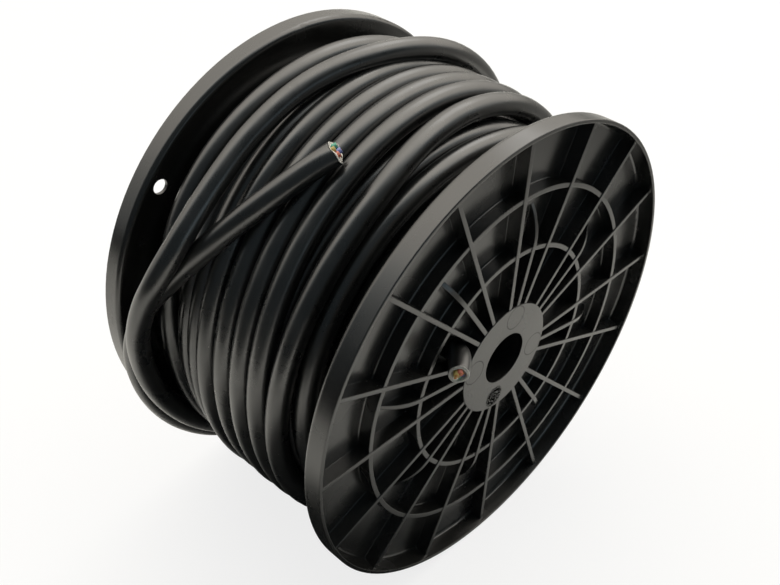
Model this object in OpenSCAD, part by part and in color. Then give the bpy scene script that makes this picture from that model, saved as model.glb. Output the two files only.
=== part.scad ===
// Cable drum, moulded in black plastic, wound with black multicore cable.
// It lies on its two flange rims: the drum axis is Y, the ribbed front flange faces -Y, +Z is up.
// The origin is the middle of the spindle bore. Angles run from +X towards +Z. Millimetres.

/* [Drum] */
// Outside diameter of both flanges
flange_d = 320; // [300:1:350]
// Width over both flange rims
drum_w = 200; // [180:1:240]
// Diameter of the spindle bore
spindle_d = 36; // [25:0.5:44]

/* [Flange moulding] */
// Depth of the rim along the axis
flange_t = 14; // [11:0.5:18]
// Thickness of the web
web_t = 2.4; // [1.8:0.1:3.5]
// Thickness of the rim at its front edge
rim_t = 2.4; // [1.8:0.1:4]
// Lean of the rim's inner wall from its front edge to the web
rim_draft = 1.2; // [0.4:0.1:2]
// Fillet between the rim's inner wall and the web
rim_fillet = 2; // [1:0.1:3]
// Rounding of the rim's edge on the cable side
rim_round = 3.5; // [1.5:0.1:5]
// Chamfer of the rim's front edge
rim_chamfer = 0.5; // [0.2:0.1:1]

/* [Ribs] */
// Radial ribs from the hub to the rim
rib_n = 16; // [12:2:20]
// Angle of the first radial rib
rib_start = 19.6; // [0:0.1:22]
// Thickness of a rib at its top edge
rib_t = 2.8; // [2:0.1:4]
// Growth of a rib's thickness on each side, from its top edge to the web
rib_draft = 0.4; // [0.1:0.1:0.8]
// Set-back of the rib tops from the rim's front edge
rib_drop = 2.3; // [1.4:0.1:3.3]
// Further set-back of the ring ribs
ring_drop = 0.5; // [0.3:0.1:1.5]
// Outside diameter of the outer ring rib
outer_ring_d = 239; // [225:1:260]
// Thickness of the outer ring rib
outer_ring_t = 3; // [2:0.1:4]
// Thickness of the inner ring rib, which stands over the barrel's collar, and of the collar
inner_ring_t = 3; // [2:0.1:4]
// Length of a short rib's curved end past the inner ring
short_rib_run = 25; // [18:1:30]

/* [Hub] */
// Outside diameter of the hub
hub_d = 78; // [70:1:90]
// Height of the hub's face over the rib tops
hub_rise = 0.3; // [0.2:0.1:1]
// Thickness of the hub's side wall
hub_wall = 3; // [2:0.1:4]
// Thickness of the hub's face plate
hub_plate_t = 3.2; // [2:0.1:5]
// Wall of the spindle sleeve
sleeve_wall = 3.2; // [2:0.1:5]
// Length of the spindle sleeve inside the barrel
sleeve_l = 36; // [20:1:50]

/* [Barrel] */
// Wall of the barrel tube
barrel_wall = 3; // [2:0.1:4]
// Height of the collar that the barrel slides over
collar_h = 8; // [4:0.5:12]
// Clearance between the collar and the barrel
collar_clear = 0.2; // [0.1:0.05:0.4]

/* [Cable] */
// Outside diameter of the cable
cable_d = 14.5; // [13:0.1:16]
// How far neighbouring turns press into each other
turn_bite = 0.25; // [0.15:0.05:0.5]
// Layers of cable on the barrel
layers = 5; // [3:1:6]
// Height of the flange rims above the winding
freeboard = 11.5; // [5:0.5:20]
// Turns missing from the top layer at the front flange
top_gap_front = 2; // [1:1:3]
// Turns missing from the top layer at the rear flange
top_gap_rear = 2; // [2:1:3]
// Gap between the barrel and the winding
winding_clear = 0.3; // [0.2:0.05:0.5]

/* [Holes] */
// Diameter of the tie hole in the rear flange
tie_hole_d = 10; // [6:0.5:11]
// Distance from the rim's outside to the middle of the tie hole
tie_hole_inset = 11; // [11:0.5:20]
// Angle of the tie hole
tie_hole_angle = 139.2; // [0:0.1:360]
// Clearance round the cable's inner end in the flange and the barrel
exit_clear = 0.6; // [0.5:0.05:1.2]

/* [Hidden] */
$fn = 96;
plastic = "#2b2b2a";
jacket = "#1d1e1f";
// Overlap that fuses the parts of one moulding
fuse = 0.5;

flange_r = flange_d / 2;
spindle_r = spindle_d / 2;
hub_r = hub_d / 2;
rib_top = flange_t - rib_drop;
ring_top = rib_top - ring_drop;
hub_top = rib_top + hub_rise;
inner_w = drum_w - 2 * flange_t;
tie_hole_r = flange_r - tie_hole_inset;

// The turns lie in layers, each in the grooves of the layer below
cable_r = cable_d / 2;
turn_pitch = cable_d - turn_bite;
layer_rise = sqrt(pow(cable_d, 2) - pow(turn_pitch / 2, 2));
layer_turns = 1 + floor((inner_w - cable_d) / turn_pitch);
first_turn = (layer_turns - 1) * turn_pitch / 2;
crest_r = flange_r - freeboard;
winding_bore_r = crest_r - cable_d - (layers - 1) * layer_rise;

// The barrel fits inside the winding, and the flanges' collars fit inside the barrel
barrel_r = winding_bore_r - winding_clear;
barrel_bore_r = barrel_r - barrel_wall;
collar_r = barrel_bore_r - collar_clear;

// Route of the cable's outer end, from its cut face back into the winding:
// angle, height of the cable's middle over the winding, distance from the rear flange.
// The tail runs under the second loose turn, and the third lies level in the top layer's gap.
level_turn = [-2, 21.6];
outer_route = [
    [113.4, 11, 104.5], [127, 10.3, 88.2], [140, 8.8, 68], [149.6, 7.6, 51], [157.7, 7.5, 36.6],
    [162, 7.6, 28.8], [167, 7.8, 21.6], [173, 8.4, 16.4], [181, 10.7, 11.9], [193, 11.6, 10.6],
    [206, 11, 10], [220, 9.3, 9.2], [238, 6.6, 8.3], [268, 3.3, 7.6], [294, 6, 8.5], [312, 11.2, 14.4],
    [328, 13.8, 22.6], [344, 12.2, 32.5], [362, 9.3, 42], [392, 9.4, 54], [424, 9.6, 58.8],
    [442, 9, 55.8], [462, 8.9, 48.5], [478, 10.1, 47.6], [492, 14, 50.1], [504, 20.7, 52.1],
    [513, 24.3, 48.9], [520, 24, 42.5], [528, 21.4, 35.8], [537, 16, 29.4], [549, 10.6, 26],
    [564, 4.6, 24.6], [582, -1, 22.5], [604, -3.4, 21.6],
    for (angle = [630:30:840]) concat(angle, level_turn),
    [858, -3.2, 21.6], [870, -6.2, 21.5]];
// Rings of the tube between two points of a route
route_steps = 2;
// Route of the cable's inner end, from its cut face to the inside of the barrel:
// x, depth behind the front rim, z
inner_route = [[-56.6, -8, 32.9], [-45.2, 2, 32.3], [-39.2, 12, 29.2], [-36, 26, 28.5], [-38, 44, 29]];
// Last stretch of that route, into the barrel's wall:
// angle, depth behind the front rim, distance inside the barrel's outer face
barrel_route = [[142.7, 60, 25.4], [142.8, 71, 15.4], [143.1, 80, 5.7]];
// Point of that route at the flange's web
exit_point = 2;
// Sides of the cable tubes
tube_sides = 12;

function unit(v) = v / norm(v);
// Point at share t of a smooth curve between points i and i + 1 of a list
function curve_at(p, i, t) =
    let (a = p[max(i - 1, 0)], b = p[i], c = p[i + 1], d = p[min(i + 2, len(p) - 1)])
    ((2 * b) + (c - a) * t + (2 * a - 5 * b + 4 * c - d) * t * t
        + (3 * b - a - 3 * c + d) * t * t * t) / 2;
function smooth(p, n) = [
    for (i = [0:len(p) - 2]) for (k = [0:n - 1]) curve_at(p, i, k / n),
    p[len(p) - 1]];
function direction(p, i) = unit(p[min(i + 1, len(p) - 1)] - p[max(i - 1, 0)]);
// Place of a route point given by angle, height over the winding and distance from the rear flange
function on_winding(q) = [
    (crest_r + q[1]) * cos(q[0]), inner_w / 2 - q[2], (crest_r + q[1]) * sin(q[0])];
function behind_rim(q) = [q[0], q[1] - drum_w / 2, q[2]];
function in_barrel(q) = behind_rim([(barrel_r - q[2]) * cos(q[0]), q[1], (barrel_r - q[2]) * sin(q[0])]);
outer_path = [for (q = smooth(outer_route, route_steps)) on_winding(q)];
inner_points = concat([for (q = inner_route) behind_rim(q)], [for (q = barrel_route) in_barrel(q)]);
inner_path = smooth(inner_points, route_steps);

// Round tube along a list of points, with flat ends
module tube(path, d) {
    last = len(path) - 1;
    points = [
        for (i = [0:last])
        let (t = direction(path, i), u = unit(cross(t, [path[i][0], 0, path[i][2]])), v = cross(u, t))
        for (k = [0:tube_sides - 1])
        let (a = 360 * k / tube_sides)
        path[i] + d / 2 * (cos(a) * u + sin(a) * v)];
    walls = [
        for (i = [0:last - 1]) for (k = [0:tube_sides - 1])
        let (a = i * tube_sides + k, b = i * tube_sides + (k + 1) % tube_sides)
        each [[a, b, b + tube_sides], [a, b + tube_sides, a + tube_sides]]];
    near_end = [for (k = [tube_sides - 1:-1:0]) k];
    far_end = [for (k = [0:tube_sides - 1]) last * tube_sides + k];
    polyhedron(points, concat(walls, [near_end, far_end]), convexity = 8);
}

// Round rod from one point to another
module rod(a, b, d) {
    v = b - a;
    translate(a) rotate([0, acos(v[2] / norm(v)), atan2(v[1], v[0])]) cylinder(d = d, h = norm(v));
}

// Section of the web and the rim, with z = 0 on the cable side and the front edge at flange_t
module rim_section() {
    wall_r = flange_r - rim_t;
    foot_r = wall_r - rim_draft;
    difference() {
        polygon([
            [hub_r - hub_wall, 0], [flange_r - rim_round, 0], [flange_r, rim_round],
            [flange_r, flange_t - rim_chamfer], [flange_r - rim_chamfer, flange_t],
            [wall_r, flange_t], [foot_r, web_t + rim_fillet], [foot_r - rim_fillet, web_t],
            [hub_r - hub_wall, web_t]]);
        translate([foot_r - rim_fillet, web_t + rim_fillet]) circle(r = rim_fillet);
    }
    intersection() {
        translate([flange_r - rim_round, rim_round]) circle(r = rim_round);
        translate([flange_r - rim_round, 0]) square(rim_round);
    }
}

// Section of the hub: side wall, face plate and spindle sleeve
module hub_section() {
    translate([hub_r - hub_wall, 0]) square([hub_wall, hub_top]);
    translate([spindle_r, hub_top - hub_plate_t]) square([hub_r - spindle_r, hub_plate_t]);
    translate([spindle_r, -sleeve_l]) square([sleeve_wall, sleeve_l + hub_top]);
}

// Section of a ring rib with the given outside radius and thickness
module ring_section(r, t) {
    translate([r - t, web_t - fuse]) square([t, ring_top - web_t + fuse]);
}

// One radial rib along X, thicker at the web than at its top edge
module radial_rib() {
    foot = rib_t / 2 + rib_draft;
    translate([hub_r - hub_wall / 2, 0, 0])
        rotate([90, 0, 90])
            linear_extrude(flange_r - rim_t / 2 - hub_r + hub_wall / 2)
                polygon([
                    [-foot, web_t - fuse], [foot, web_t - fuse], [rib_t / 2, rib_top], [-rib_t / 2, rib_top]]);
}

// One short rib along X: level to the inner ring, then a curve down to the web
module short_rib() {
    drop = rib_top - web_t;
    bow = (pow(short_rib_run, 2) + pow(drop, 2)) / (2 * drop);
    start = hub_r - hub_wall / 2;
    foot = web_t - fuse;
    rotate([90, 0, 0])
        linear_extrude(rib_t, center = true) {
            translate([start, foot]) square([collar_r - start, rib_top - foot]);
            intersection() {
                translate([collar_r, rib_top - bow]) circle(r = bow, $fn = 180);
                translate([collar_r - fuse, foot]) square([short_rib_run + 3 * fuse, rib_top - foot]);
            }
        }
}

// The flange moulding, with its ribbed side up and its first rib at the given angle
module flange_moulding(first_rib) {
    rotate_extrude() {
        rim_section();
        hub_section();
        ring_section(outer_ring_d / 2, outer_ring_t);
        ring_section(collar_r, inner_ring_t);
        translate([collar_r - inner_ring_t, -collar_h]) square([inner_ring_t, collar_h + fuse]);
    }
    for (i = [0:rib_n - 1]) rotate(first_rib + i * 360 / rib_n) radial_rib();
    for (i = [0:2:rib_n - 1]) rotate(first_rib + (i + 0.5) * 360 / rib_n) short_rib();
}

module front_flange() {
    exit = inner_points[exit_point];
    reach = cable_r * direction(inner_points, exit_point);
    color(plastic)
        difference() {
            translate([0, -inner_w / 2, 0]) rotate([90, 0, 0]) flange_moulding(rib_start);
            rod(exit - reach, exit + reach, cable_d + 2 * exit_clear);
        }
}

// The same moulding turned round, with the tie hole midway between two ribs
module rear_flange() {
    first_rib = -tie_hole_angle - 180 / rib_n;
    color(plastic)
        difference() {
            translate([0, inner_w / 2, 0]) rotate([-90, 0, 0]) flange_moulding(first_rib);
            translate([tie_hole_r * cos(tie_hole_angle), inner_w / 2 - fuse, tie_hole_r * sin(tie_hole_angle)])
                rotate([-90, 0, 0]) cylinder(d = tie_hole_d, h = web_t + 2 * fuse);
        }
}

// Tube between the flanges, with the slanting hole for the cable's inner end
module barrel() {
    last = len(inner_points) - 1;
    color(plastic)
        difference() {
            rotate([90, 0, 0]) cylinder(r = barrel_r, h = inner_w, center = true);
            rotate([90, 0, 0]) cylinder(r = barrel_bore_r, h = inner_w + 2 * fuse, center = true);
            rod(inner_points[last - 1], 2 * inner_points[last] - inner_points[last - 1],
                cable_d + 2 * exit_clear);
        }
}

// The wound cable as one turned solid: the turns show on its outside and on its ends
module cable_winding() {
    color(jacket)
        rotate([90, 0, 0])
            rotate_extrude()
                for (layer = [0:layers - 1]) {
                    top = layer == layers - 1;
                    shift = layer % 2 == 0 ? 0 : turn_pitch / 2;
                    front = first_turn - shift - (top ? top_gap_front * turn_pitch : 0);
                    rear = shift - first_turn + (top ? top_gap_rear * turn_pitch : 0);
                    middle_r = winding_bore_r + cable_r + layer * layer_rise;
                    floor_r = layer == 0 ? winding_bore_r : middle_r - layer_rise;
                    translate([floor_r, rear]) square([middle_r - floor_r, front - rear]);
                    for (y = [rear:turn_pitch:front + fuse]) translate([middle_r, y]) circle(r = cable_r);
                }
}

// Three loose turns beside the rear flange, and the tail that lies across the winding
module cable_outer_end() {
    color(jacket) tube(outer_path, cable_d);
}

// Inner end of the cable, led through the barrel and out of the front flange
module cable_inner_end() {
    color(jacket) tube(inner_path, cable_d);
}

front_flange();
rear_flange();
barrel();
cable_winding();
cable_outer_end();
cable_inner_end();
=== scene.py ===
import bpy
import numpy as np
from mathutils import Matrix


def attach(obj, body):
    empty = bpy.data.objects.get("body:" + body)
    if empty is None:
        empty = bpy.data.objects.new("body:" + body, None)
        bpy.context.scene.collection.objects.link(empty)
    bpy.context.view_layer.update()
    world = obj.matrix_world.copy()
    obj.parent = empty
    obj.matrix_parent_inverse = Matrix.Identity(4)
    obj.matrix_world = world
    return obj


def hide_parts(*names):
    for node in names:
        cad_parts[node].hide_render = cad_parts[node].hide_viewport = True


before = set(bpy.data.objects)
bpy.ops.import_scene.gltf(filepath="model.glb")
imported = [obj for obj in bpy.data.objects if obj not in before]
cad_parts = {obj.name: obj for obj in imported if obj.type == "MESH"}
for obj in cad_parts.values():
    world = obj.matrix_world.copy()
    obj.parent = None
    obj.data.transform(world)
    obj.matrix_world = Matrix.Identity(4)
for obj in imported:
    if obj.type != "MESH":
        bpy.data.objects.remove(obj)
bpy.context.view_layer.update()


# Drum: two ribbed flanges and the barrel between them.
# Black polypropylene, injection moulded with a satin face; the flanges' collars slide into the barrel.
# The front hub keeps three flush marks of ejector pins and the rough scar of the mould's gate.

def linear(code):
    """Colour written as sRGB hex, as linear RGBA."""
    c = np.array([int(code[i:i + 2], 16) for i in (1, 3, 5)]) / 255
    c = np.where(c <= 0.04045, c / 12.92, ((c + 0.055) / 1.055) ** 2.4)
    return (*c, 1.0)


def node(tree, kind, inputs=(), output=0, **settings):
    """Adds a node with its settings and returns one of its outputs. Inputs go by name or in order, and each
    takes a value, or a link where it is another node's output."""
    made = tree.nodes.new(kind)
    for name, value in settings.items():
        setattr(made, name, value)
    named = inputs if isinstance(inputs, dict) else dict(enumerate(inputs))
    for key, value in named.items():
        if isinstance(value, bpy.types.NodeSocket):
            tree.links.new(value, made.inputs[key])
        else:
            made.inputs[key].default_value = value
    return made.outputs[output] if made.outputs else None


def empty_material(name):
    """A material with nothing in its tree, and that tree."""
    material = bpy.data.materials.new(name)
    material.use_nodes = True
    material.node_tree.nodes.clear()
    return material, material.node_tree


def span_from(tree, place, x, z):
    """Distance from the line parallel to the drum's axis through x, z."""
    away = node(tree, "ShaderNodeVectorMath", (place, (x, 0, z)), operation="SUBTRACT")
    flat = node(tree, "ShaderNodeVectorMath", (away, (1, 0, 1)), operation="MULTIPLY")
    return node(tree, "ShaderNodeVectorMath", (flat,), "Value", operation="LENGTH")


def moulded_plastic(name, pins, scars):
    """Satin black moulding with softened edges and a fine grain, duller in patches, with specks of dust. A
    pin is a shallow dark groove at its own radius. A scar is rings inside that radius, broken by a noise and
    dark at their bottom."""
    material, tree = empty_material(name)
    place = node(tree, "ShaderNodeTexCoord", output="Object")
    grain_mm, dull_mm, speck_mm, chip_mm = 0.8, 30.0, 8.0, 2.6
    grain = node(tree, "ShaderNodeTexNoise", {"Vector": place, "Scale": 1000 / grain_mm, "Detail": 2.0})
    dull = node(tree, "ShaderNodeTexNoise", {"Vector": place, "Scale": 1000 / dull_mm, "Detail": 6.0})
    chip = node(tree, "ShaderNodeTexNoise", {"Vector": place, "Scale": 1000 / chip_mm, "Detail": 3.0})
    speck = node(tree, "ShaderNodeTexVoronoi", {"Vector": place, "Scale": 1000 / speck_mm}, "Distance")
    dot = node(tree, "ShaderNodeMapRange", (speck, 0.02, 0.04, 1.0, 0.0))
    patch = node(tree, "ShaderNodeMapRange", (dull, 0.5, 0.6, 0.0, 1.0))
    dust = node(tree, "ShaderNodeMath", (dot, patch), operation="MULTIPLY")
    height = node(tree, "ShaderNodeMath", (grain, 0.012), operation="MULTIPLY")
    black = {0: dull, 6: linear("#121211"), 7: linear("#191918")}
    tone = node(tree, "ShaderNodeMix", black, 2, data_type="RGBA")
    tone = node(tree, "ShaderNodeMix", {0: dust, 6: tone, 7: linear("#8f8d86")}, 2, data_type="RGBA")
    shine = 0.95
    for x, z in pins:
        span = span_from(tree, place, x, z)
        off = node(tree, "ShaderNodeMath", (span, pin_mark_r), operation="SUBTRACT")
        line = node(tree, "ShaderNodeMath", (off,), operation="ABSOLUTE")
        dim = node(tree, "ShaderNodeMapRange", (line, 0.0002, 0.0006, 0.25, 1.0))
        shine = node(tree, "ShaderNodeMath", (shine, dim), operation="MULTIPLY")
        groove = node(tree, "ShaderNodeMapRange", (line, 0.0, 0.0004, -0.1, 0.0))
        height = node(tree, "ShaderNodeMath", (height, groove), operation="ADD")
    for x, z in scars:
        span = span_from(tree, place, x, z)
        inside = node(tree, "ShaderNodeMapRange", (span, 0.85 * pin_mark_r, pin_mark_r, 1.0, 0.0))
        swing = node(tree, "ShaderNodeMath", (span, 2 * np.pi / ring_pitch), operation="MULTIPLY")
        swirl = node(tree, "ShaderNodeMath", (chip, 20.0, swing), operation="MULTIPLY_ADD")
        wave = node(tree, "ShaderNodeMath", (swirl,), operation="SINE")
        rings = node(tree, "ShaderNodeMapRange", (wave, -0.4, 1.0, 0.0, 1.0))
        chipped = node(tree, "ShaderNodeMath", (chip, rings), operation="MULTIPLY")
        broken = node(tree, "ShaderNodeMath", (chipped, inside), operation="MULTIPLY")
        height = node(tree, "ShaderNodeMath", (broken, 4.0, height), operation="MULTIPLY_ADD")
        bottom = node(tree, "ShaderNodeMapRange", (broken, 0.25, 0.5, 1.0, 0.0))
        pit = node(tree, "ShaderNodeMath", (bottom, inside), operation="MULTIPLY")
        dim = node(tree, "ShaderNodeMapRange", (pit, 0.0, 1.0, 1.0, 0.0))
        shine = node(tree, "ShaderNodeMath", (shine, dim), operation="MULTIPLY")
        tone = node(tree, "ShaderNodeMix", {0: pit, 6: tone, 7: linear("#050505")}, 2, data_type="RGBA")
    soft_edge = node(tree, "ShaderNodeBevel", {"Radius": 0.0007}, samples=6)
    relief = {"Height": height, "Distance": 0.001, "Strength": 0.6, "Normal": soft_edge}
    bump = node(tree, "ShaderNodeBump", relief)
    rough = node(tree, "ShaderNodeMapRange", (dull, 0.3, 0.7, 0.2, 0.3))
    shader = node(tree, "ShaderNodeBsdfPrincipled", {
        "Base Color": tone, "Roughness": rough, "Normal": bump, "IOR": 1.5, "Specular IOR Level": shine})
    node(tree, "ShaderNodeOutputMaterial", (shader,))
    return material


def marks(*angles):
    """Places on the hub's face at the given angles, on the circle of the ejector pins."""
    a = np.radians(angles)
    return [(float(x), float(z)) for x, z in pin_circle_r * np.stack([np.cos(a), np.sin(a)], 1)]


def unit(v):
    """Vectors brought to a length of one."""
    return v / np.linalg.norm(v, axis=-1, keepdims=True)


def skin(centres, radius, along, out, sides, widen=1.0, push=0.0):
    """Rings joined in order: centre + radius times (cos up / widen + sin side widen) + push along the path.
    Returns corners, four-cornered faces, and for each face corner its length along and round in metres."""
    count = len(centres)
    radius, widen = (np.broadcast_to(v, count)[:, None, None] for v in (radius, widen))
    side = unit(np.cross(along, out))[:, None]
    up = np.cross(side, along[:, None])
    turn = (2 * np.pi * np.arange(sides) / sides)[None, :, None]
    ring = np.cos(turn) * up / widen + np.sin(turn) * side * widen
    pushed = np.broadcast_to(push, (count, sides))[..., None] * along[:, None]
    corners = (centres[:, None] + radius * ring + pushed).reshape(-1, 3)
    i, k = np.meshgrid(np.arange(count - 1), np.arange(sides), indexing="ij")
    far = (k + 1) % sides
    faces = np.stack([i * sides + k, i * sides + far, (i + 1) * sides + far, (i + 1) * sides + k], -1)
    length = np.concatenate([[0], np.cumsum(np.linalg.norm(np.diff(centres, axis=0), axis=1))])
    run = np.stack([length[i], length[i], length[i + 1], length[i + 1]], -1)
    way = np.stack([k, k + 1, k + 1, k], -1) * (2 * np.pi * np.mean(radius) / sides)
    return corners, faces.reshape(-1, 4), np.stack([run, way], -1).reshape(-1, 2)


def turned(profile, at, along, out, sides, widen=1.0, edge=0.0, size=1.0):
    """Skin turned about a line: the profile gives depth along it and radius, in mm. The rings near a cut
    follow its edge, and the radii are multiplied by the size."""
    depth, radius = (np.array(profile) * (1, size)).T / 1000
    push = np.exp(-np.maximum(depth, 0) / 0.002)[:, None] * edge
    ways = (np.tile(v, (len(depth), 1)) for v in (along, out))
    return skin(at + depth[:, None] * along, radius, *ways, sides, widen, push)


def make_piece(name, skins):
    """One smooth mesh from pairs of a material and a skin. It rides on the drum."""
    materials = list(dict.fromkeys(material for material, _ in skins))
    parts = [part for _, part in skins]
    start = np.cumsum([0] + [len(corners) for corners, _, _ in parts[:-1]])
    faces = np.vstack([part[1] + first for part, first in zip(parts, start)])
    slots = np.repeat([materials.index(material) for material, _ in skins], [len(part[1]) for part in parts])
    mesh = bpy.data.meshes.new(name)
    mesh.from_pydata(np.vstack([part[0] for part in parts]).tolist(), [], faces.tolist())
    for material in materials:
        mesh.materials.append(material)
    mesh.polygons.foreach_set("use_smooth", np.ones(len(faces), dtype=bool))
    mesh.polygons.foreach_set("material_index", slots.astype(np.int32))
    lay = np.vstack([part[2] for part in parts]).astype(np.float32)
    mesh.uv_layers.new(name="lay").data.foreach_set("uv", lay.ravel())
    mesh.update()
    piece = bpy.data.objects.new(name, mesh)
    bpy.context.scene.collection.objects.link(piece)
    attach(piece, "root")
    return piece


def foot(wall, way):
    """Section of the hollow fillet at the foot of a ring rib: a quarter arc given as height over the web and
    radius, in mm. Way is 1 on the ring's outside and -1 on its inside."""
    t = np.linspace(0.5, 0, 7)[::way] * np.pi
    return np.stack([foot_fillet * (1 - np.sin(t)), wall + way * foot_fillet * (1 - np.cos(t))], 1)


pin_circle_r = 0.0304
pin_mark_r = 0.0082
ring_pitch = 0.0024
front_plastic = moulded_plastic("polypropylene_moulded_front", marks(75.5, -14.5, 165.0), marks(-104.0))
rear_plastic = moulded_plastic("polypropylene_moulded_rear", [], [])
moulded = {"front_flange": front_plastic, "rear_flange": rear_plastic, "barrel": rear_plastic}
for name, plastic in moulded.items():
    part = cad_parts[name]
    part.data.materials.clear()
    part.data.materials.append(plastic)
# Fillets at the feet of the ring ribs, which are thin bright lines in the pockets
foot_fillet = 1.0
web_face = 0.0884
ring_walls = [(119.5, 1), (116.5, -1), (80.0, 1), (77.0, -1)]
foot_sides = 160
upright = np.array([0.0, 0.0, 1.0])
for name, plastic, way in (("front_rib_feet", front_plastic, -1), ("rear_rib_feet", rear_plastic, 1)):
    along = np.array([0.0, way, 0.0])
    feet = [turned(foot(*wall), web_face * along, along, upright, foot_sides) for wall in ring_walls]
    make_piece(name, [(plastic, part) for part in feet])


# Wound cable: about forty metres of one round multicore cable in five layers on the barrel.
# The jacket is extruded black PVC. The turns lie in the grooves of the layer below and sway a little,
# and the last turn of the top layer slides down in front to start the layer under it.

cable_r = 0.00725
rear_face = 0.086
crest_r = 0.1485


def on_drum(angle, distance, radius):
    """Points at an angle in degrees round the drum, a distance in mm from the rear flange, a radius in mm."""
    a = np.radians(angle)
    return np.stack([radius * np.cos(a), 1000 * rear_face - distance, radius * np.sin(a)], 1) / 1000


def bearings(path):
    """Directions along a path and straight out from the drum's axis, at each of its points."""
    return unit(np.gradient(path, axis=0)), unit(path * np.array([1, 0, 1]))


def cable_jacket():
    """Extruded black PVC: fine lines along the cable, slow waves from the cores under it, dull rubbed
    patches, and a few specks of dust. The lines follow the unrolled jacket, the rest its place in space."""
    material, tree = empty_material("pvc_cable_jacket")
    lay = node(tree, "ShaderNodeUVMap", uv_map="lay")
    place = node(tree, "ShaderNodeTexCoord", output="Object")
    line_mm, wave_mm, rub_mm, speck_mm = (90.0, 1.5), 26.0, 18.0, 7.0
    stretch = (1000 / line_mm[0], 1000 / line_mm[1], 1.0)
    drawn = node(tree, "ShaderNodeMapping", {"Vector": lay, "Scale": stretch})
    line = node(tree, "ShaderNodeTexNoise", {"Vector": drawn, "Scale": 1.0, "Detail": 3.0})
    wave = node(tree, "ShaderNodeTexNoise", {"Vector": place, "Scale": 1000 / wave_mm, "Detail": 1.0})
    rub = node(tree, "ShaderNodeTexNoise", {"Vector": place, "Scale": 1000 / rub_mm, "Detail": 6.0})
    speck = node(tree, "ShaderNodeTexVoronoi", {"Vector": place, "Scale": 1000 / speck_mm}, "Distance")
    dot = node(tree, "ShaderNodeMapRange", (speck, 0.03, 0.06, 1.0, 0.0))
    patch = node(tree, "ShaderNodeMapRange", (rub, 0.52, 0.6, 0.0, 1.0))
    dust = node(tree, "ShaderNodeMath", (dot, patch), operation="MULTIPLY")
    black = {0: rub, 6: linear("#0c0d0d"), 7: linear("#141515")}
    tone = node(tree, "ShaderNodeMix", black, 2, data_type="RGBA")
    tone = node(tree, "ShaderNodeMix", {0: dust, 6: tone, 7: linear("#85837d")}, 2, data_type="RGBA")
    fine = node(tree, "ShaderNodeMath", (line, 0.02), operation="MULTIPLY")
    height = node(tree, "ShaderNodeMath", (wave, 0.15, fine), operation="MULTIPLY_ADD")
    bump = node(tree, "ShaderNodeBump", {"Height": height, "Distance": 0.001, "Strength": 0.8})
    rough = node(tree, "ShaderNodeMapRange", (rub, 0.3, 0.7, 0.24, 0.36))
    shader = node(tree, "ShaderNodeBsdfPrincipled", {
        "Base Color": tone, "Roughness": rough, "Normal": bump, "IOR": 1.54, "Specular IOR Level": 1.0})
    node(tree, "ShaderNodeOutputMaterial", (shader,))
    return material


def ease(x):
    """Smooth step from 0 to 1."""
    x = np.clip(x, 0, 1)
    return x * x * (3 - 2 * x)


def layer(start, first, pitch, turns, radius, step, level):
    """Turns at one radius. Each stays level for the given degrees from the start's bearing and then shifts by
    one pitch in 80 degrees; the last one ends where it would shift."""
    angle = start + np.arange(0, 360 * (turns - 1) + level, step)
    whole, part = np.divmod(angle - start, 360)
    shift = whole + ease((part - level) / 80)
    return angle, first + pitch * shift, np.full(len(angle), radius)


jacket = cable_jacket()
pitch = 14.25
step = 3.0
turn_sides = 18
# Top layer: each turn's distance from the rear flange at 95 degrees; it crosses to the next where it shows
turns_at = [35.0, 48.2, 61.6, 76.5, 92.0, 107.0]
crossing = [(75, -2.5), (95, 0.0), (115, 2.5), (145, 6.0), (165, 8.0), (185, 9.2)]
knots = [(-160.0, 34.5)]
for k, first in enumerate(turns_at):
    knots += [(turn + 360 * k, first + shift) for turn, shift in crossing]
# Last turn of the top layer: it bulges forward where it shows, then slides down into the layer below
knots += [
    (2220, 121), (2235, 123), (2255, 126), (2265, 130.5), (2275, 133.5), (2285, 134.3), (2295, 134),
    (2315, 132.5), (2335, 130.7), (2345, 129.5), (2360, 127.5), (2400, 127), (2450, 128), (2490, 131),
    (2530, 136), (2550, 138), (2570, 139.7), (2588, 140)]
angle = np.arange(-210.0, 2588.0, step)
distance = np.interp(angle, *np.array(knots).T)
distance = 21.5 + (distance - 21.5) * ease((angle + 210) / 50)
height = 142.0 + 2.8 * np.cos(np.radians(angle - 75)) ** 2 + 1.4 * np.cos((distance - 98) * np.pi / 55)
lifts = [(-210, 0), (-90, -3.5), (130, -3.5), (490, -1), (850, 2.5), (1210, 0)]
height = height + np.interp(angle, *np.array(lifts).T)
drop = [(2400, 144.0), (2490, 142), (2530, 141), (2550, 138.5), (2570, 133.5), (2588, 129.5)]
height = np.where(angle < 2400, height, np.interp(angle, *np.array(drop).T))
# The layers below, each in the grooves of the next one down
runs = [(angle, distance, height)]
for radius, first, way, turns, spacing, level in (
        (129.0, 140.0, -pitch, 10, 3.0, 180), (116.0, 7.6, pitch, 12, 6.0, 280),
        (103.4, 157.25, -pitch, 11, 6.0, 280), (90.75, 7.6, pitch, 12, 6.0, 280)):
    runs.append(layer(runs[-1][0][-1] % 360 + spacing, first, way, turns, radius, spacing, level))
angle, distance, height = (np.concatenate([run[i] for run in runs]) for i in range(3))
soft = np.ones(9) / 9
distance = np.convolve(np.pad(distance, 4, mode="edge"), soft, mode="valid")
height = np.convolve(np.pad(height, 4, mode="edge"), soft, mode="valid")
path = on_drum(angle, distance, height)
wound_skin = skin(path, cable_r, *bearings(path), turn_sides)
wound = make_piece("wound_cable", [(jacket, wound_skin)])
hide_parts("cable_winding")


# Loose end of the cable: the tail with its cut end, then two slack turns beside the rear flange.
# The same PVC cable. Nothing ties it down: the second turn lies over the tail and holds it.
# The cut is crushed a little flat, and the coloured cores stand out of a torn fleece wrap.

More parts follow.
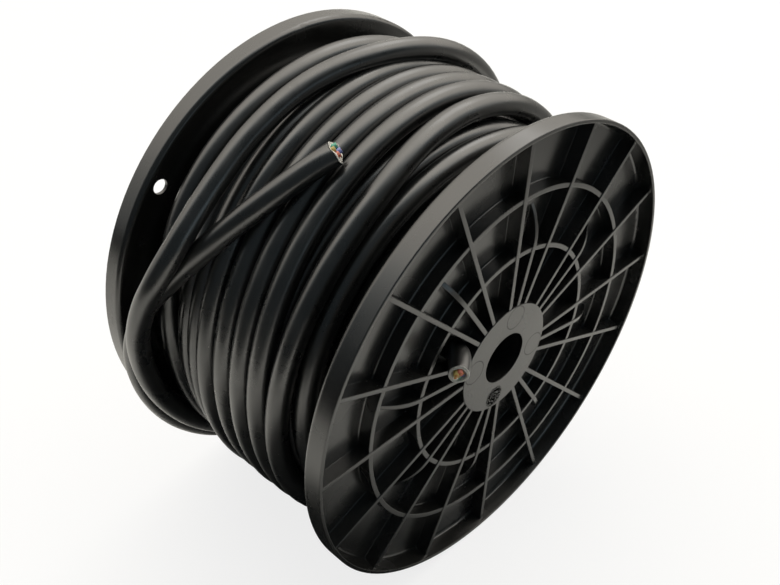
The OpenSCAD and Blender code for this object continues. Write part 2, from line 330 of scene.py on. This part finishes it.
def mottled(name, dark, light, grain_mm, rough, metallic=0.0):
    """Small plain surface in two tones of one colour, with a noise of the same grain as tone and relief."""
    material, tree = empty_material(name)
    place = node(tree, "ShaderNodeTexCoord", output="Object")
    grain = node(tree, "ShaderNodeTexNoise", {"Vector": place, "Scale": 1000 / grain_mm, "Detail": 3.0})
    bump = node(tree, "ShaderNodeBump", {"Height": grain, "Distance": 0.0002, "Strength": 0.5})
    tones = {0: grain, 6: linear(dark), 7: linear(light)}
    tone = node(tree, "ShaderNodeMix", tones, 2, data_type="RGBA")
    shader = node(tree, "ShaderNodeBsdfPrincipled", {
        "Base Color": tone, "Roughness": rough, "Metallic": metallic, "Normal": bump})
    node(tree, "ShaderNodeOutputMaterial", (shader,))
    return material


def through(points, steps):
    """Smooth curve through hand-set points: each span is the cubic fixed by its own and the next points."""
    p = np.vstack([2 * points[0] - points[1], points, 2 * points[-1] - points[-2]])
    t = (np.arange(steps) / steps)[None, :, None]
    a, b, c, d = (p[i:len(p) - 3 + i, None] for i in range(4))
    bend = (2 * a - 5 * b + 4 * c - d) * t ** 2 + (3 * b - a - 3 * c + d) * t ** 3
    curve = (2 * b + (c - a) * t + bend) / 2
    return np.vstack([curve.reshape(-1, points.shape[1]), points[-1:]])


def cut_edge(sides, torn, slant, low):
    """Lengths by which a cut edge lies behind the cut's middle, round the cable: a slant that is deepest at
    the angle low in degrees, and the torn share of two waves whose heights add up to a millimetre."""
    turn = 2 * np.pi * np.arange(sides) / sides
    wave = 0.6 * np.sin(2 * turn + 0.8) + 0.4 * np.sin(5 * turn + 2.0)
    return (slant * np.cos(turn - np.radians(low)) + torn * wave) / 1000


def cut_cable(path, sides, widen, size, torn, slant, low, cores):
    """Cable whose path starts at its cut face: jacket, rim, wrap, and cores at every 60 degrees and in the
    middle. Each core has its colour and the length in mm by which it stands out. Widen flattens the end, and
    size below one pinches it."""
    along, out = bearings(path)
    run = np.concatenate([[0], np.cumsum(np.linalg.norm(np.diff(path, axis=0), axis=1))])
    fade = np.exp(-run / 0.008)
    spread = 1 + (widen - 1) * fade
    start, way, away = path[0], along[0], out[0]
    edge = cut_edge(sides, torn, slant, low)
    shown = np.vstack([start + 0.0006 * way, path[1:]])
    radius = cable_r * (1 + (size - 1) * fade)
    body = skin(shown, radius, along, out, sides, spread, np.exp(-run / 0.002)[:, None] * edge)
    rim = turned([(5.0, 5.8), (0.5, 5.85), (0.1, 6.1), (0.0, 6.75), (0.15, 7.1), (0.6, 7.25)],
                 start, way, away, sides, widen, edge, size)
    wrap = turned([(3.0, 5.2), (-0.2, 5.3), (-0.6, 5.5), (-0.3, 5.7), (4.0, 5.75)],
                  start, way, away, sides, widen, 1.2 * edge, size)
    skins = [(jacket, body), (cut_rim_painted_highlight, rim), (fleece, wrap)]
    across = np.cross(way, away)
    for i, (colour, tip) in enumerate(cores):
        swing = np.radians(60 * i)
        reach = 0.0 if i == 6 else 0.0035 * size
        back = reach / cable_r * slant * np.cos(swing - np.radians(low)) - tip
        aside = np.cos(swing) * away / widen + np.sin(swing) * across * widen
        middle = start + reach * aside + back / 1000 * way
        cover = turned([(0.0, 0.85), (0.0, 1.35), (0.05, 1.55), (0.3, 1.7), (8.0, 1.7)],
                       middle, way, away, 14)
        strand = turned([(-0.15, 0.02), (-0.1, 0.7), (0.1, 0.85)], middle, way, away, 10)
        skins += [(insulation[colour], cover), (copper, strand)]
    return skins


# The cut face of the black jacket is painted in light greys: a painted highlight of the light it catches
cut_rim_painted_highlight = mottled("pvc_cut_edge_painted_highlight", "#7c7a76", "#e6e3dc", 1.2, 0.5)
fleece = mottled("polyester_fleece_wrap", "#c4c0b6", "#f2efe8", 0.5, 0.8)
copper = mottled("copper_strands", "#8a4a28", "#d08a58", 0.3, 0.35, 1.0)
core_tones = {
    "yellow": ("#8f7a35", "#c9b468"), "green": ("#2f7d68", "#6fc0a4"), "white": ("#c6c3b9", "#f0eee6"),
    "brown": ("#4a3426", "#7a5a42"), "blue": ("#5560a0", "#9aa4d8"), "red": ("#b0523f", "#e08a72"),
    "grey": ("#6b6b6a", "#a3a3a0")}
insulation = {name: mottled("pvc_core_" + name, *tones, 0.8, 0.45) for name, tones in core_tones.items()}

level_turn = (-2.0, 21.6)
outer_route = [
    (113.4, 11, 104.5), (127, 10.3, 88.2), (140, 8.8, 68), (149.6, 7.6, 51), (157.7, 7.5, 36.6),
    (162, 7.6, 28.8), (167, 7.8, 21.6), (173, 8.4, 16.4), (181, 10.7, 11.9), (193, 11.6, 10.6),
    (206, 11, 10), (220, 9.3, 9.2), (238, 6.6, 8.3), (268, 3.3, 7.6), (294, 6, 8.5), (312, 11.2, 14.4),
    (328, 13.8, 22.6), (344, 12.2, 32.5), (362, 9.3, 42), (392, 9.4, 54), (424, 9.6, 58.8),
    (442, 9, 55.8), (462, 8.9, 48.5), (478, 10.1, 47.6), (492, 14, 50.1), (504, 20.7, 52.1),
    (513, 24.3, 48.9), (520, 24, 42.5), (528, 21.4, 35.8), (537, 16, 29.4), (549, 10.6, 26),
    (564, 4.6, 24.6), (582, -1, 22.5), (604, -3.4, 21.6)]
outer_route += [(a, *level_turn) for a in range(630, 841, 30)]
outer_route += [(858, -3.2, 21.6), (870, -6.2, 21.5)]
curve = through(np.array(outer_route, dtype=float), 10)
path = on_drum(curve[:, 0], curve[:, 2], 1000 * crest_r + curve[:, 1])
cores = [
    ("yellow", 1.0), ("green", 2.2), ("grey", 1.4), ("brown", 1.0),
    ("white", 0.6), ("red", 1.8), ("blue", 3.0)]
end_sides = 28
crushed = cut_cable(path, end_sides, widen=1.1, size=1.0, torn=1.0, slant=1.5, low=-35, cores=cores)
loose = make_piece("loose_turns", crushed)
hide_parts("cable_outer_end")


# Inner end of the cable: it comes out of the barrel through the front flange beside the hub.
# The same PVC cable, pinched by the cutter and cut a little aslant in front of the rim.

inner_route = np.array([
    (-56.6, -8, 32.9), (-45.2, 2, 32.3), (-39.2, 12, 29.2), (-36, 26, 28.5),
    (-38, 44, 29), (-46, 60, 35), (-54, 71, 41), (-62, 80, 46.5)])
curve = through(inner_route, 10)
path = np.stack([curve[:, 0], curve[:, 1] - 100, curve[:, 2]], 1) / 1000
cores = [
    ("yellow", 0.5), ("red", 0.9), ("brown", 0.3), ("blue", 0.2),
    ("green", 0.4), ("white", 0.8), ("grey", 0.4)]
pinched = cut_cable(path, end_sides, widen=1.0, size=0.86, torn=0.5, slant=0.6, low=90, cores=cores)
inner = make_piece("inner_end", pinched)
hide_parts("cable_inner_end")


# Floor, studio light and camera: a wide white floor, a soft box behind the drum and a pale wall beyond it.
# The camera sees the floor white all over. To the rest it shows painted shade: a painted shadow of the drum
# under its left front, and painted shade far to the left and to the right front, which gives the dark bands
# that the turns mirror.

floor_z = -0.160
white, tree = empty_material("white_studio_floor")
seen = node(tree, "ShaderNodeLightPath", output="Is Camera Ray")
spot = node(tree, "ShaderNodeTexCoord", output="Object")
far = node(tree, "ShaderNodeVectorMath", (spot, (-0.2, -0.1, floor_z)), "Value", operation="DISTANCE")
left = node(tree, "ShaderNodeSeparateXYZ", (spot,), "X")
right = node(tree, "ShaderNodeVectorMath", (spot, (1.0, -1.0, 0.0)), "Value", operation="DOT_PRODUCT")
# Painted shade on the floor, for reflections only: near_shade is a painted shadow of the drum, left_shade and
# right_shade are painted shade, all in the dark tone below
near_shade = node(tree, "ShaderNodeMapRange", (far, 0.12, 0.22, 1.0, 0.0))
left_shade = node(tree, "ShaderNodeMapRange", (left, -1.0, -0.75, 1.0, 0.0))
right_shade = node(tree, "ShaderNodeMapRange", (right, 0.45, 0.8, 0.0, 0.7))
shade = node(tree, "ShaderNodeMath", (near_shade, left_shade), operation="MAXIMUM")
shade = node(tree, "ShaderNodeMath", (shade, right_shade), operation="MAXIMUM")
mirrored = node(tree, "ShaderNodeMath", (1.0, seen), operation="SUBTRACT")
shade = node(tree, "ShaderNodeMath", (shade, mirrored), operation="MULTIPLY")
tones = {0: shade, 6: linear("#f4f4f2"), 7: linear("#303234")}
paint = node(tree, "ShaderNodeMix", tones, 2, data_type="RGBA")
paint = node(tree, "ShaderNodeBsdfDiffuse", {"Color": paint})
glow = node(tree, "ShaderNodeEmission", {"Color": (1, 1, 1, 1), "Strength": 1.0})
share = node(tree, "ShaderNodeMath", (seen, 0.8), operation="MULTIPLY")
mixed = node(tree, "ShaderNodeMixShader", (share, paint, glow))
node(tree, "ShaderNodeOutputMaterial", (mixed,))
mesh = bpy.data.meshes.new("floor")
reach = 12.0
floor_corners = [(x * reach, y * reach, floor_z) for x, y in ((-1, -1), (1, -1), (1, 1), (-1, 1))]
mesh.from_pydata(floor_corners, [], [(0, 1, 2, 3)])
mesh.materials.append(white)
floor = bpy.data.objects.new("floor", mesh)
bpy.context.scene.collection.objects.link(floor)

# The wall's side of the room is white and the other side dim, with a small window straight in front of the
# drum that lights the ribs' feet; the camera always sees white
world = bpy.data.worlds.new("studio")
world.use_nodes = True
tree = world.node_tree
tree.nodes.clear()
way = node(tree, "ShaderNodeTexCoord", output="Generated")
side = node(tree, "ShaderNodeVectorMath", (way, (1.1, 1.0, 0.0)), "Value", operation="DOT_PRODUCT")
front = node(tree, "ShaderNodeVectorMath", (way, (-0.4, 1.0, 0.0)), "Value", operation="DOT_PRODUCT")
high = node(tree, "ShaderNodeVectorMath", (way, (0.0, -0.4, 0.9)), "Value", operation="DOT_PRODUCT")
ahead = node(tree, "ShaderNodeVectorMath", (way, (0.0, -1.0, 0.0)), "Value", operation="DOT_PRODUCT")
side_light = node(tree, "ShaderNodeMapRange", (side, -0.35, 0.15, 0.06, 1.0))
front_light = node(tree, "ShaderNodeMapRange", (front, -0.95, -0.7, 0.1, 1.0))
high_light = node(tree, "ShaderNodeMapRange", (high, -0.2, 0.8, 0.9, 2.8))
window = node(tree, "ShaderNodeMapRange", (ahead, 0.9, 0.97, 0.0, 1.0))
sides = node(tree, "ShaderNodeMath", (side_light, front_light), operation="MULTIPLY")
lit = node(tree, "ShaderNodeMath", (sides, high_light), operation="MULTIPLY")
lit = node(tree, "ShaderNodeMath", (lit, window), operation="MAXIMUM")
seen = node(tree, "ShaderNodeLightPath", output="Is Camera Ray")
level = node(tree, "ShaderNodeMix", {0: seen, 2: lit, 3: 1.0})
casts = {0: sides, 6: linear("#c4d8e2"), 7: linear("#fff9ee")}
cast = node(tree, "ShaderNodeMix", casts, 2, data_type="RGBA")
cast = node(tree, "ShaderNodeMix", {0: seen, 6: cast, 7: linear("#ffffff")}, 2, data_type="RGBA")
sky = node(tree, "ShaderNodeBackground", {"Color": cast, "Strength": level})
node(tree, "ShaderNodeOutputWorld", (sky,))
bpy.context.scene.world = world


def looking(at, aim):
    """Placing matrix of a lamp or camera at a point that looks at another, level across."""
    back = unit(np.array(at) - np.array(aim))
    right = unit(np.cross((0, 0, 1), back))
    placed = np.eye(4)
    placed[:3, 0], placed[:3, 1], placed[:3, 2], placed[:3, 3] = right, np.cross(back, right), back, at
    return placed.T.tolist()


def soft_box(name, at, size, power):
    """A rectangular lamp of the given size that faces the drum."""
    lamp = bpy.data.lights.new(name, "AREA")
    lamp.shape = "RECTANGLE"
    lamp.size, lamp.size_y = size
    lamp.energy = power
    box = bpy.data.objects.new(name, lamp)
    box.matrix_world = looking(at, (0, 0, 0))
    bpy.context.scene.collection.objects.link(box)


soft_box("key_box", (1.54, 0.56, 1.47), (1.0, 1.0), 4)

lens = bpy.data.cameras.new("camera")
lens.sensor_width = 36
lens.lens = 47.5
camera = bpy.data.objects.new("camera", lens)
right = np.array([0.6986, -0.7156, 0.0])
up = np.array([0.468, 0.457, 0.7565])
back = np.cross(right, up)
placed = np.eye(4)
placed[:3, 0], placed[:3, 1], placed[:3, 2], placed[:3, 3] = right, up, back, (-0.3819, -0.3702, 0.4552)
camera.matrix_world = placed.T.tolist()
bpy.context.scene.collection.objects.link(camera)
bpy.context.scene.camera = camera
bpy.context.scene.view_settings.view_transform = "Standard"
